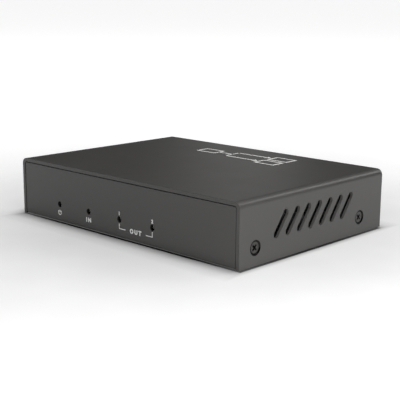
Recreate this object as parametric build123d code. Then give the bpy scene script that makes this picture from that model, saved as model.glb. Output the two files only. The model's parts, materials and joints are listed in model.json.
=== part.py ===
from build123d import *
import os

# A small video splitter in a folded metal case: one input and two outputs at the rear,
# four status lamps at the front. Millimetres, X across, Y from front to rear, Z up,
# with the origin in the middle of the underside.

os.makedirs("parts", exist_ok=True)

# Case: an arched cover over a tray whose ends fold up as the front and rear panels
case_width = 126.0
case_depth = 90.0
case_height = 25.0
cover_sheet = 1.5
cover_bend_inside = 1.1
cover_lift = 0.4
tray_sheet = 1.2
tray_bend_inside = 0.3
seam_gap = 0.35
panel_inset = 0.15
ear_gap = 0.1
overrun = 1.0

# Slanted vent slots of both side walls
slot_count = 7
slot_pitch = 6.9
slot_width = 2.9
slot_length = 12.1
slot_lean = 36.5
slot_height_share = 0.543
slot_row_shift = -1.0

# Folded ears of the tray, which take the side screws
side_screw_height = 7.1
front_screw_inset = 8.8
rear_screw_inset = 15.7
ear_width = 11.0
ear_root = 4.0
ear_rise = 4.2
relief_width = 0.8

# Screws
thread_radius = 1.5
thread_clearance = 0.05
side_screw_length = 4.8
flat_head_overhang = 1.15
flat_head_sink = 0.45
flat_head_land = 0.35
flat_head_clearance = 0.3
seat_gap = 0.03
pan_head_overhang = 1.1
pan_head_height = 1.9
board_screw_length = 3.8
cross_span = 2.9
cross_blade = 0.75
cross_depth = 1.1
cross_floor_span = 1.5

# Standoffs pressed into the tray, and the circuit board on them
standoff_height = 2.8
standoff_wall = 0.75
standoff_shoulder = 0.6
standoff_floor = 0.5
standoff_inset_x = 6.0
standoff_inset_front = 9.0
standoff_inset_rear = 19.5
board_side_gap = 5.2
board_front_gap = 0.8
board_rear_gap = 0.5
board_sheet = 1.6
board_corner_radius = 1.5
board_hole_clearance = 0.15

# Video sockets, each seen from its mouth at the rear panel
socket_names = ("input", "output_1", "output_2")
socket_place_shares = (0.035, -0.173, -0.381)
mouth_width = 14.0
mouth_height = 4.55
mouth_floor_width = 10.2
mouth_side_height = 2.8
mouth_corner_radius = 0.5
shell_sheet = 0.3
shell_depth = 11.6
shell_lift = 0.4
shell_leg_width = 1.4
shell_leg_insets = (4.2, 9.4)
shell_leg_tail = 0.6
shell_leaf_length = 4.2
shell_leaf_width = 2.2
shell_leaf_slit = 0.3
shell_leaf_place_share = 0.22
shell_leaf_inset = 2.0
shell_clearance = 0.25
insulator_clearance = 0.04
insulator_depth = 4.2
insulator_back_inset = 0.3
insulator_foot_width = 9.4
insulator_foot_depth = 3.0
tongue_width = 10.6
tongue_sheet = 1.2
tongue_inset = 1.3
upper_contacts = 10
lower_contacts = 9
contact_pitch = 1.0
contact_width = 0.3
contact_sheet = 0.2
contact_proud = 0.05
contact_tip_inset = 0.4
contact_tail = 0.4
contact_foot = 0.9

# Power jack
jack_place_share = 0.418
jack_wall = 1.35
jack_depth = 14.0
jack_flange_depth = 3.2
jack_shoulder = 0.5
jack_axis_height = 6.3
jack_bore_radius = 3.15
jack_bore_depth = 9.5
jack_pin_radius = 1.0
jack_pin_inset = 0.7
jack_pin_taper = 0.35
jack_hole_margin = 0.6
jack_gap = 0.2
jack_tag_sheet = 0.5
jack_tag_width = 2.2
jack_tag_tail = 0.9
jack_spring_width = 2.0
jack_spring_sheet = 0.3
jack_spring_tip_inset = 2.2
jack_spring_leg_inset = 8.0
jack_spring_bow = 0.6
jack_groove_clearance = 0.1

# Setting switch: a right-angle block with four slide levers
lever_count = 4
switch_place_share = 0.245
lever_pitch = 2.54
switch_margin = 0.8
switch_height = 6.4
switch_depth = 5.2
switch_face = 0.9
switch_base_sheet = 1.2
switch_recess = 0.35
switch_window_clearance = 0.2
lever_travel = 1.4
lever_clearance = 0.08
lever_nub_width = 1.1
lever_nub_height = 1.3
lever_nub_proud = 0.25
lever_foot_width = 1.8
lever_foot_height = 2.4
terminal_width = 0.5
terminal_sheet = 0.25
terminal_drop_share = 0.3
terminal_out = 0.9
terminal_foot = 0.9

# Status lamps behind the round holes of the front panel
lamp_names = ("power", "input", "output_1", "output_2")
lamp_place_shares = (-0.3436, -0.1718, 0, 0.1718)
lamp_hole_radius = 1.25
lamp_gap = 0.1
lamp_axis_height = 2.4
lamp_radius = 1.45
lamp_chamfer = 0.5
lamp_collar_radius = 1.9
lamp_collar = 1.0
holder_width = 4.6
holder_depth = 4.0
holder_height = 5.0
holder_bore_clearance = 0.05
holder_set_back = 1.1
lead_sheet = 0.5
lead_pitch = 2.54
lead_reach = 1.4
lead_tail = 0.9
lead_hole_width = 0.8

# Chips, heat sink and other pieces on the board, placed by shares of the board's size
splitter_place_shares = (-0.12, 0.03)
splitter_size = 12.0
splitter_sheet = 1.4
pad_sheet = 0.5
sink_size = 28.0
sink_height = 10.0
sink_floor = 2.0
sink_fin = 1.0
sink_fin_count = 9
controller_place_shares = (0.2, -0.1)
controller_size = 7.0
controller_sheet = 0.9
memory_place_shares = (0.2, 0.06)
memory_width = 4.9
memory_depth = 3.9
memory_sheet = 1.5
memory_lead_pitch = 1.27
memory_lead_count = 4
memory_lead_width = 0.4
memory_lead_sheet = 0.2
memory_lead_span = 6.0
memory_lead_foot = 0.6
chip_corner_cut = 0.3
surge_size = 2.6
surge_depth = 1.6
surge_sheet = 0.8
surge_pitch = 4.0
surge_gap = 2.0
regulator_place_shares = ((0.36, 0.02), (0.36, -0.14))
regulator_width = 6.5
regulator_depth = 3.5
regulator_sheet = 1.7
regulator_tab = 1.6
regulator_tab_sheet = 0.3
inductor_place_shares = (0.44, 0.09)
inductor_size = 7.0
inductor_height = 4.4
inductor_core_radius = 2.7
inductor_recess = 0.4
inductor_corner_cut = 1.2
capacitor_place_shares = ((0.44, -0.05), (0.44, -0.16), (0.3, -0.27))
capacitor_radius = 3.15
capacitor_height = 7.7
capacitor_base = 6.6
capacitor_base_height = 1.2
capacitor_groove = 0.35
capacitor_rim = 0.4
crystal_place_shares = (0.07, -0.2)
crystal_length = 11.0
crystal_width = 4.5
crystal_height = 3.4
crystal_flange = 0.4
ceramic_length = 2.0
ceramic_width = 1.25
ceramic_height = 1.2
ceramic_pitch = 3.4
ceramic_columns = 6
ceramic_row_shares = (-0.26, -0.33)
ceramic_start_share = -0.36
fuse_place_shares = (0.3, 0.16)
fuse_length = 4.6
fuse_width = 3.2
fuse_height = 0.9

# Levels and places that follow from the sizes above
half_width = case_width / 2
half_depth = case_depth / 2
cover_inside_width = case_width - 2 * cover_sheet
cover_bend_outside = cover_bend_inside + cover_sheet
tray_bend_outside = tray_bend_inside + tray_sheet
panel_width = cover_inside_width - 2 * seam_gap
panel_top = case_height - cover_sheet - seam_gap
panel_corner_radius = cover_bend_inside - seam_gap
ear_face = cover_inside_width / 2 - ear_gap
panel_outside = half_depth - panel_inset
panel_inside = panel_outside - tray_sheet
flat_head_radius = thread_radius + flat_head_overhang
pan_head_radius = thread_radius + pan_head_overhang
tapped_radius = thread_radius + thread_clearance
standoff_root_radius = tapped_radius + standoff_wall
standoff_radius = standoff_root_radius + standoff_shoulder
board_width = 2 * (ear_face - tray_sheet - board_side_gap)
board_low = tray_sheet + standoff_height
board_top = board_low + board_sheet
board_front = -panel_inside + board_front_gap
board_rear = panel_inside - board_rear_gap
board_depth = board_rear - board_front
board_middle = (board_front + board_rear) / 2
socket_axis = board_top + shell_lift + shell_sheet + mouth_height / 2
jack_front = panel_inside - jack_gap
jack_axis = board_top + jack_axis_height
jack_width = 2 * (jack_bore_radius + jack_wall)
jack_height = jack_axis_height + jack_bore_radius + jack_wall
lamp_axis = board_top + lamp_axis_height
lamp_tip = -panel_inside + lamp_gap
lamp_back = lamp_tip + holder_set_back + holder_depth + lamp_collar
switch_width = (lever_count - 1) * lever_pitch + lever_foot_width + 2 * switch_margin
switch_front = panel_outside - switch_recess
lever_slot_height = lever_nub_height + lever_travel + 2 * lever_clearance
lever_pocket_height = lever_foot_height + lever_travel + 2 * lever_clearance
switch_axis = board_top + switch_height / 2
lever_rest = switch_axis - lever_travel / 2

STAND = (Align.CENTER, Align.CENTER, Align.MIN)


def block(size_x, size_y, size_z):
    """A block that stands on its local origin."""
    return Box(size_x, size_y, size_z, align=STAND)


def post(radius, height):
    """A round post that stands on its local origin."""
    return Cylinder(radius, height, align=STAND)


def on_board(shares, lift=0):
    """A place on the board's upper face, from shares of its width and depth."""
    return Pos(shares[0] * board_width, board_middle + shares[1] * board_depth, board_top + lift)


def rearward(face, start, length):
    """Push a face drawn across the case (X, Z) towards the rear, from depth start."""
    return extrude(Plane.XZ.offset(-start) * face, amount=-length)


def turned(points):
    """Turn an outline of (radius, height) points about the local Z axis."""
    return revolve(Plane.XZ * make_face(Polyline(*points, close=True)), Axis.Z)


def arch(width, low, top, radius):
    """An upright rectangle whose two upper corners are rounded."""
    face = Pos(0, (low + top) / 2) * Rectangle(width, top - low)
    return fillet(face.vertices().group_by(Axis.Y)[-1], radius)


def bent_strip(points, sheet, width):
    """A strip bent through (Y, Z) points, centred on X, with square ends."""
    profile = trace(Polyline(*points), line_width=sheet)
    return extrude(Plane.YZ * profile, amount=width / 2, both=True)


def cross_recess():
    """The cross cut into a screw's head: two blades that narrow with depth below the origin."""
    half = cross_span / 2
    floor = cross_floor_span / 2
    outline = Polyline((-half, 0), (half, 0), (floor, -cross_depth), (-floor, -cross_depth), close=True)
    blade = extrude(Plane.XZ * make_face(outline), amount=cross_blade / 2, both=True)
    return blade + Rot(0, 0, 90) * blade


def side_screw_places():
    """The four side screws: on the cover's outer faces, local Z pointing outwards."""
    depths = (-half_depth + front_screw_inset, half_depth - rear_screw_inset)
    return [
        Pos(side * half_width, depth, side_screw_height) * Rot(0, side * 90, 0)
        for side in (1, -1)
        for depth in depths
    ]


def standoff_places():
    """The four board fixings, at the height of the tray's underside."""
    across = board_width / 2 - standoff_inset_x
    depths = (board_front + standoff_inset_front, board_rear - standoff_inset_rear)
    return [Pos(side * across, depth, 0) for side in (1, -1) for depth in depths]


def flat_head_screw():
    """A countersunk screw below its local origin, with a cross recess."""
    head_face = -flat_head_sink
    cone_start = head_face - flat_head_land
    cone_end = cone_start - (flat_head_radius - thread_radius)
    screw = turned([
        (0, head_face),
        (flat_head_radius, head_face),
        (flat_head_radius, cone_start),
        (thread_radius, cone_end),
        (thread_radius, head_face - side_screw_length),
        (0, head_face - side_screw_length),
    ])
    return screw - Pos(0, 0, head_face) * Rot(0, 0, 45) * cross_recess()


def countersink():
    """The seat of a flat head screw, through the cover and the ear behind it."""
    rim = flat_head_radius + flat_head_clearance
    cone_start = flat_head_clearance - seat_gap - flat_head_sink - flat_head_land
    cone_end = cone_start - (rim - tapped_radius)
    return turned([
        (0, overrun),
        (rim, overrun),
        (rim, cone_start),
        (tapped_radius, cone_end),
        (tapped_radius, -side_screw_length - flat_head_sink),
        (0, -side_screw_length - flat_head_sink),
    ])


def vent_slots():
    """The slanted slots of both side walls, as one cutter across the whole case."""
    slot = Rot(0, 0, 90 - slot_lean) * SlotOverall(slot_length, slot_width)
    middle = (slot_count - 1) / 2
    row = [
        Pos(slot_row_shift + (i - middle) * slot_pitch, slot_height_share * case_height) * slot
        for i in range(slot_count)
    ]
    return extrude(Plane.YZ * (Sketch() + row), amount=half_width + overrun, both=True)


def top_cover():
    """The arched cover: one sheet with two bends, slotted and countersunk at the sides."""
    outside = arch(case_width, cover_lift, case_height, cover_bend_outside)
    inside_top = case_height - cover_sheet
    inside = arch(cover_inside_width, cover_lift - overrun, inside_top, cover_bend_inside)
    cover = rearward(outside - inside, -half_depth, case_depth) - vent_slots()
    return cover - [place * countersink() for place in side_screw_places()]


def tray_ear():
    """One ear folded up from the tray's right edge, drawn across X and pushed along Y."""
    top = side_screw_height + ear_rise
    outside = Polyline(
        (ear_face - ear_root, 0),
        (ear_face, 0),
        (ear_face, top),
        (ear_face - tray_sheet, top),
        (ear_face - tray_sheet, tray_sheet),
        (ear_face - ear_root, tray_sheet),
        close=True,
    )
    face = make_face(outside)
    corner_out = face.vertices().sort_by_distance((ear_face, 0, 0))[0]
    face = fillet(corner_out, tray_bend_outside)
    corner_in = face.vertices().sort_by_distance((ear_face - tray_sheet, tray_sheet, 0))[0]
    face = fillet(corner_in, tray_bend_inside)
    return rearward(face, -ear_width / 2, ear_width)


def socket_outline(grow=0):
    """The mouth of a video socket: full width above, narrowed below."""
    half = mouth_width / 2
    floor = mouth_floor_width / 2
    top = mouth_height / 2
    outline = Polyline(
        (-half, top),
        (half, top),
        (half, top - mouth_side_height),
        (floor, -top),
        (-floor, -top),
        (-half, top - mouth_side_height),
        close=True,
    )
    face = make_face(outline)
    face = fillet(face.vertices(), mouth_corner_radius)
    return offset(face, amount=grow) if grow else face


def socket_places():
    """Each video socket's mouth centre, level with the cover's rear rim."""
    return [Pos(share * board_width, half_depth, socket_axis) for share in socket_place_shares]


def rear_openings():
    """What the rear panel leaves open: three sockets, the jack and the switch."""
    reach = tray_sheet + 2 * overrun
    start = panel_inside - overrun
    socket_hole = rearward(socket_outline(shell_sheet + shell_clearance), start - half_depth, reach)
    openings = [place * socket_hole for place in socket_places()]
    jack_hole = Circle(jack_bore_radius + jack_hole_margin)
    openings.append(rearward(Pos(jack_place_share * board_width, jack_axis) * jack_hole, start, reach))
    window = Rectangle(
        switch_width + 2 * switch_window_clearance,
        switch_height + 2 * switch_window_clearance,
    )
    openings.append(rearward(Pos(switch_place_share * board_width, switch_axis) * window, start, reach))
    return openings


def base_chassis():
    """The folded tray: floor, front and rear panels, and four ears for the side screws."""
    outside = Pos(0, panel_top / 2) * Rectangle(2 * panel_outside, panel_top)
    outside = fillet(outside.vertices().group_by(Axis.Y)[0], tray_bend_outside)
    high = panel_top + overrun
    inside = Pos(0, (tray_sheet + high) / 2) * Rectangle(2 * panel_inside, high - tray_sheet)
    inside = fillet(inside.vertices().group_by(Axis.Y)[0], tray_bend_inside)
    tray = extrude(Plane.YZ * (outside - inside), amount=panel_width / 2, both=True)
    tray &= rearward(arch(panel_width, 0, panel_top, panel_corner_radius), -half_depth, case_depth)
    notch_width = ear_width + 2 * relief_width
    for place in side_screw_places():
        side = 1 if place.position.X > 0 else -1
        depth = place.position.Y
        notch = block(2 * ear_root, notch_width, 2 * overrun + tray_sheet)
        tray -= Pos(side * ear_face, depth, -overrun) * notch
        ear = Pos(0, depth, 0) * tray_ear()
        tray += ear if side > 0 else mirror(ear, about=Plane.YZ)
    tray -= [place * countersink() for place in side_screw_places()]
    root = extrude(RegularPolygon(standoff_root_radius, side_count=6), amount=tray_sheet)
    tray -= [place * root for place in standoff_places()]
    lamp_hole = Pos(0, lamp_axis) * Circle(lamp_hole_radius)
    lamp_cut = rearward(lamp_hole, -panel_outside - overrun, tray_sheet + 2 * overrun)
    tray -= [place * lamp_cut for place in lamp_places()]
    return tray - rear_openings()


def board_standoff():
    """A hexagonal tapped standoff, its narrower root pressed into the tray flush underneath."""
    root = extrude(RegularPolygon(standoff_root_radius, side_count=6), amount=tray_sheet)
    body = extrude(RegularPolygon(standoff_radius, side_count=6), amount=standoff_height)
    bore = post(tapped_radius, board_low - standoff_floor)
    return root + Pos(0, 0, tray_sheet) * body - Pos(0, 0, standoff_floor) * bore


def board_screw():
    """A pan head screw that clamps the board to its standoff."""
    head = Pos(0, 0, board_top) * post(pan_head_radius, pan_head_height)
    shank = Pos(0, 0, board_top - board_screw_length) * post(thread_radius, board_screw_length)
    return head + shank - Pos(0, 0, board_top + pan_head_height) * cross_recess()


def lamp_places():
    """The four lamps' places across the case."""
    return [Pos(share * board_width, 0, 0) for share in lamp_place_shares]


def lead_places():
    """The two leads of each lamp, across the case."""
    return [
        place * Pos(side * lead_pitch / 2, 0, 0)
        for place in lamp_places()
        for side in (-1, 1)
    ]


def shell_leg(inset, side, spare=0):
    """One leg of a socket shell, from its side wall down through the board."""
    low = board_low - shell_leg_tail - socket_axis - spare
    leg = block(shell_sheet + 2 * spare, shell_leg_width + 2 * spare, -low)
    return Pos(side * (mouth_width + shell_sheet) / 2, -inset, low) * leg


def shell_legs(spare=0):
    """All four legs of a socket shell, with spare room round them for their holes."""
    return [shell_leg(inset, side, spare) for inset in shell_leg_insets for side in (-1, 1)]


def main_board():
    """The circuit board, with holes for its screws, the lamps' leads, the shells' legs and the jack."""
    outline = Pos(0, board_middle) * RectangleRounded(board_width, board_depth, board_corner_radius)
    board = extrude(Plane.XY.offset(board_low) * outline, amount=board_sheet)
    screw_hole = Pos(0, 0, board_low) * post(thread_radius + board_hole_clearance, board_sheet)
    board -= [place * screw_hole for place in standoff_places()]
    lead_hole = block(lead_hole_width, lead_hole_width, board_sheet)
    lead_hole = Pos(0, lamp_back + lead_reach, board_low) * lead_hole
    board -= [place * lead_hole for place in lead_places()]
    for place in socket_places():
        board -= [place * leg for leg in shell_legs(board_hole_clearance)]
    for depth in (jack_front - jack_depth - jack_tag_sheet / 2, jack_front - jack_spring_leg_inset):
        slot = block(
            jack_tag_width + 2 * board_hole_clearance,
            jack_tag_sheet + 2 * board_hole_clearance,
            board_sheet,
        )
        board -= Pos(jack_place_share * board_width, depth, board_low) * slot
    return board


def socket_shell():
    """The sheet metal shell of a video socket, with spring leaves and four board legs."""
    shell = rearward(socket_outline(shell_sheet) - socket_outline(), -shell_depth, shell_depth)
    for side in (-1, 1):
        slit = block(
            shell_leaf_width + 2 * shell_leaf_slit,
            shell_leaf_length + shell_leaf_slit,
            2 * shell_sheet,
        )
        leaf = block(shell_leaf_width, shell_leaf_length, 2 * shell_sheet)
        leaf = Pos(0, -shell_leaf_slit / 2, 0) * leaf
        across = side * shell_leaf_place_share * mouth_width
        depth = -shell_leaf_inset - shell_leaf_length / 2
        shell -= Pos(across, depth, (mouth_height - shell_sheet) / 2) * (slit - leaf)
    window_depth = insulator_foot_depth + insulator_back_inset + insulator_clearance
    window = block(insulator_foot_width + 2 * insulator_clearance, 2 * window_depth, mouth_height / 2)
    shell -= Pos(0, -shell_depth, -mouth_height / 2 - shell_lift - shell_sheet) * window
    return shell + shell_legs()


def contact(row):
    """One contact of a video socket: along the tongue, out behind and down to the board."""
    level = row * (tongue_sheet / 2 + contact_proud - contact_sheet / 2)
    back = -shell_depth - contact_tail
    foot = board_top - socket_axis + contact_sheet / 2
    points = [
        (-tongue_inset - contact_tip_inset, level),
        (back, level),
        (back, foot),
        (back - contact_foot, foot),
    ]
    return bent_strip(points, contact_sheet, contact_width)


def socket_contacts():
    """Ten contacts on the tongue and nine under it, half a pitch apart."""
    return [
        Pos((i - (count - 1) / 2) * contact_pitch, 0, 0) * contact(row)
        for row, count in ((1, upper_contacts), (-1, lower_contacts))
        for i in range(count)
    ]


def socket_insulator():
    """The moulding inside a video socket: a block with a foot, and the contacts' tongue."""
    back = -shell_depth + insulator_back_inset
    body = rearward(socket_outline(-insulator_clearance), back, insulator_depth)
    tongue_length = -tongue_inset - back
    tongue = block(tongue_width, tongue_length, tongue_sheet)
    body += Pos(0, back + tongue_length / 2, -tongue_sheet / 2) * tongue
    foot = block(insulator_foot_width, insulator_foot_depth, socket_axis - board_top)
    body += Pos(0, back + insulator_foot_depth / 2, board_top - socket_axis) * foot
    return body - socket_contacts()


def power_jack_housing():
    """The power jack's moulding: a square flange, a rounded body and the plug's bore."""
    top = board_top + jack_height
    flange_face = arch(jack_width, board_top, top, jack_shoulder)
    flange = rearward(flange_face, -jack_flange_depth, jack_flange_depth)
    body_width = jack_width - 2 * jack_shoulder
    body_face = arch(body_width, board_top, top - jack_shoulder, body_width / 2 - jack_shoulder)
    housing = flange + rearward(body_face, -jack_depth, jack_depth)
    housing -= rearward(Pos(0, jack_axis) * Circle(jack_bore_radius), -jack_bore_depth, jack_bore_depth)
    housing -= rearward(Pos(0, jack_axis) * Circle(jack_pin_radius), -jack_depth, jack_depth)
    groove_back = jack_spring_leg_inset + jack_spring_sheet
    groove = block(
        jack_spring_width + 2 * jack_groove_clearance,
        groove_back - jack_spring_tip_inset + 2 * jack_groove_clearance,
        jack_axis_height,
    )
    groove_middle = -(groove_back + jack_spring_tip_inset) / 2
    return housing - Pos(0, groove_middle, board_top) * groove


def power_jack_pin():
    """The jack's centre pin with a tapered tip, and its tag down through the board."""
    back = -jack_depth - jack_tag_sheet
    tip = -jack_pin_inset
    pin = rearward(Pos(0, jack_axis) * Circle(jack_pin_radius), back, tip - back)
    pin = chamfer(pin.faces().sort_by(Axis.Y)[-1].edges(), jack_pin_taper)
    low = board_low - jack_tag_tail
    tag = block(jack_tag_width, jack_tag_sheet, jack_axis + jack_pin_radius - low)
    return pin + Pos(0, back + jack_tag_sheet / 2, low) * tag


def power_jack_spring():
    """The jack's outer contact: a leaf bowed into the bore, on a leg through the board."""
    rest = jack_axis - jack_bore_radius
    points = [
        (-jack_spring_tip_inset - jack_spring_sheet, rest),
        (-(jack_spring_tip_inset + jack_spring_leg_inset) / 2, rest + jack_spring_bow),
        (-jack_spring_leg_inset, rest - jack_spring_bow),
        (-jack_spring_leg_inset, board_low - jack_tag_tail),
    ]
    return bent_strip(points, jack_spring_sheet, jack_spring_width)


def lever_columns():
    """The levers' places across the switch."""
    return [(i - (lever_count - 1) / 2) * lever_pitch for i in range(lever_count)]


def setting_switch_housing():
    """The switch's front moulding: a face with four upright slots and a pocket behind each."""
    pocket_back = -switch_depth + switch_base_sheet
    housing = rearward(
        Pos(0, switch_axis) * Rectangle(switch_width, switch_height), pocket_back, -pocket_back
    )
    slot = Rectangle(lever_nub_width + 2 * lever_clearance, lever_slot_height)
    pocket = Rectangle(lever_foot_width + 2 * lever_clearance, lever_pocket_height)
    for column in lever_columns():
        housing -= rearward(Pos(column, switch_axis) * slot, -switch_face, switch_face)
        housing -= rearward(Pos(column, switch_axis) * pocket, pocket_back, -pocket_back - switch_face)
    return housing


def setting_switch_base():
    """The plate that closes the switch's pockets from behind and carries the terminals."""
    base = rearward(
        Pos(0, switch_axis) * Rectangle(switch_width, switch_height), -switch_depth, switch_base_sheet
    )
    return base - setting_switch_terminals()


def setting_switch_terminals():
    """Two terminals for each lever: out of the base plate and down to the board."""
    root = -switch_depth + switch_base_sheet / 2
    out = -switch_depth - terminal_out
    foot = board_top + terminal_sheet / 2
    level = switch_axis - terminal_drop_share * switch_height
    points = [(root, level), (out, level), (out, foot), (out - terminal_foot, foot)]
    strip = bent_strip(points, terminal_sheet, terminal_width)
    return [
        Pos(column + side * lever_pitch / 4, 0, 0) * strip
        for column in lever_columns()
        for side in (-1, 1)
    ]


def setting_lever(column):
    """One slide lever at its lower stop: a foot in the pocket and a nub through the slot."""
    pocket_front = -switch_face - lever_clearance
    pocket_back = -switch_depth + switch_base_sheet + lever_clearance
    foot = Pos(column, lever_rest) * Rectangle(lever_foot_width, lever_foot_height)
    nub = Pos(column, lever_rest) * Rectangle(lever_nub_width, lever_nub_height)
    lever = rearward(foot, pocket_back, pocket_front - pocket_back)
    lever += rearward(nub, pocket_front, lever_nub_proud - pocket_front)
    return lever


def status_lamp():
    """A round lamp pointing forwards: chamfered tip, straight body and a collar behind."""
    length = lamp_back - lamp_tip
    lamp = turned([
        (0, 0),
        (lamp_radius - lamp_chamfer, 0),
        (lamp_radius, lamp_chamfer),
        (lamp_radius, length - lamp_collar),
        (lamp_collar_radius, length - lamp_collar),
        (lamp_collar_radius, length),
        (0, length),
    ])
    return Pos(0, lamp_tip, lamp_axis) * Rot(-90, 0, 0) * lamp


def lamp_holder():
    """The black stand that keeps a lamp level on the board."""
    face = Pos(0, board_top + holder_height / 2) * Rectangle(holder_width, holder_height)
    bore = Pos(0, lamp_axis) * Circle(lamp_radius + holder_bore_clearance)
    return rearward(face - bore, lamp_tip + holder_set_back, holder_depth)


def lamp_lead():
    """One lead: out of the lamp's back, then down through the board."""
    down = lamp_back + lead_reach
    points = [(lamp_back, lamp_axis), (down, lamp_axis), (down, board_low - lead_tail)]
    return bent_strip(points, lead_sheet, lead_sheet)


def chip(width, depth, height):
    """A flat chip package with one cut corner that marks its first pin."""
    body = block(width, depth, height)
    corner = body.edges().filter_by(Axis.Z).sort_by(Axis.X)[:2].sort_by(Axis.Y)[0]
    return chamfer(corner, chip_corner_cut)


def splitter_chip():
    """The large chip that copies the input to both outputs."""
    return on_board(splitter_place_shares) * chip(splitter_size, splitter_size, splitter_sheet)


def thermal_pad():
    """The soft pad between the large chip and its heat sink."""
    pad = block(splitter_size, splitter_size, pad_sheet)
    return on_board(splitter_place_shares, splitter_sheet) * pad


def heat_sink():
    """A finned heat sink, pushed along its fins."""
    pitch = (sink_size - sink_fin) / (sink_fin_count - 1)
    face = Pos(0, sink_height / 2) * Rectangle(sink_size, sink_height)
    fin_height = sink_height - sink_floor
    gap = Rectangle(pitch - sink_fin, fin_height)
    gaps = [
        Pos((i - sink_fin_count / 2 + 1) * pitch, sink_floor + fin_height / 2) * gap
        for i in range(sink_fin_count - 1)
    ]
    sink = rearward(face - gaps, -sink_size / 2, sink_size)
    return on_board(splitter_place_shares, splitter_sheet + pad_sheet) * sink


def memory_chip():
    """A small chip with gull-wing leads on two sides, each a solid of its own."""
    body = chip(memory_width, memory_depth, memory_sheet)
    level = memory_sheet / 2
    foot = memory_lead_sheet / 2
    out = memory_lead_span / 2
    points = [
        (memory_depth / 2, level),
        (out - memory_lead_foot, level),
        (out - memory_lead_foot, foot),
        (out, foot),
    ]
    lead = bent_strip(points, memory_lead_sheet, memory_lead_width)
    middle = (memory_lead_count - 1) / 2
    leads = [
        Rot(0, 0, turn) * Pos((i - middle) * memory_lead_pitch, 0, 0) * lead
        for i in range(memory_lead_count)
        for turn in (0, 180)
    ]
    place = on_board(memory_place_shares)
    return [place * piece for piece in [body] + leads]


def surge_protectors():
    """Small protection chips in front of each video socket."""
    behind = shell_depth + contact_tail + contact_foot + surge_gap
    body = Pos(0, -behind, board_top - socket_axis) * block(surge_size, surge_depth, surge_sheet)
    return [
        place * Pos(step * surge_pitch, 0, 0) * body
        for place in socket_places()
        for step in (-1, 0, 1)
    ]


def voltage_regulator():
    """A regulator package with its broad cooling tab."""
    body = block(regulator_width, regulator_depth, regulator_sheet)
    tab = block(regulator_width / 2, regulator_tab, regulator_tab_sheet)
    return body + Pos(0, (regulator_depth + regulator_tab) / 2, 0) * tab


def power_inductor():
    """A shielded inductor: a square case with cut corners and the round core's recess."""
    case = block(inductor_size, inductor_size, inductor_height)
    case = chamfer(case.edges().filter_by(Axis.Z), inductor_corner_cut)
    case -= Pos(0, 0, inductor_height - inductor_recess) * post(inductor_core_radius, inductor_recess)
    return on_board(inductor_place_shares) * case


def electrolytic_capacitor():
    """A capacitor can, drawn in where it meets its square foot."""
    neck_radius = capacitor_radius - capacitor_groove
    can = turned([
        (0, 0),
        (neck_radius, 0),
        (neck_radius, capacitor_base_height),
        (capacitor_radius, capacitor_base_height + capacitor_groove),
        (capacitor_radius, capacitor_height - capacitor_rim),
        (capacitor_radius - capacitor_rim, capacitor_height),
        (0, capacitor_height),
    ])
    return can + block(capacitor_base, capacitor_base, capacitor_base_height)


def clock_crystal():
    """A low crystal can with its round ends and foot flange."""
    flange = SlotOverall(crystal_length + 2 * crystal_flange, crystal_width + 2 * crystal_flange)
    can = SlotOverall(crystal_length, crystal_width)
    crystal = extrude(flange, amount=crystal_flange) + extrude(can, amount=crystal_height)
    return on_board(crystal_place_shares) * crystal


def ceramic_capacitors():
    """Rows of small ceramic capacitors."""
    body = block(ceramic_width, ceramic_length, ceramic_height)
    return [
        on_board((ceramic_start_share, row_share)) * Pos(column * ceramic_pitch, 0, 0) * body
        for row_share in ceramic_row_shares
        for column in range(ceramic_columns)
    ]


def group(solids):
    """Several separate solids kept together under one name."""
    return Compound(children=[solid for piece in solids for solid in piece.solids()])


def video_sockets():
    """Shell, insulator and contacts of every video socket, each at its place."""
    shell = socket_shell()
    insulator = socket_insulator()
    contacts = socket_contacts()
    nodes = {}
    for name, place in zip(socket_names, socket_places()):
        nodes[name + "_socket_shell"] = place * shell
        nodes[name + "_socket_insulator"] = place * insulator
        nodes[name + "_socket_contacts"] = group([place * piece for piece in contacts])
    return nodes


def power_jack():
    """The three pieces of the power jack at their place behind the rear panel."""
    place = Pos(jack_place_share * board_width, jack_front, 0)
    return {
        "power_jack_housing": place * power_jack_housing(),
        "power_jack_pin": place * power_jack_pin(),
        "power_jack_spring": place * power_jack_spring(),
    }


def setting_switch():
    """The switch's fixed pieces and its four levers at their place in the rear panel."""
    place = Pos(switch_place_share * board_width, switch_front, 0)
    nodes = {
        "setting_switch_housing": place * setting_switch_housing(),
        "setting_switch_base": place * setting_switch_base(),
        "setting_switch_terminals": group([place * piece for piece in setting_switch_terminals()]),
    }
    for number, column in enumerate(reversed(lever_columns()), start=1):
        nodes[f"setting_lever_{number}"] = place * setting_lever(column)
    return nodes


def status_lamps():
    """The four lamps, and their holders and leads as groups."""
    lamp = status_lamp()
    nodes = {name + "_lamp": place * lamp for name, place in zip(lamp_names, lamp_places())}
    nodes["lamp_holders"] = group([place * lamp_holder() for place in lamp_places()])
    nodes["lamp_leads"] = group([place * lamp_lead() for place in lead_places()])
    return nodes


def case_and_fixings():
    """Cover, tray, screws and standoffs."""
    return {
        "top_cover": top_cover(),
        "base_chassis": base_chassis(),
        "side_screws": group([place * flat_head_screw() for place in side_screw_places()]),
        "board_standoffs": group([place * board_standoff() for place in standoff_places()]),
        "board_screws": group([place * board_screw() for place in standoff_places()]),
    }


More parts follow.
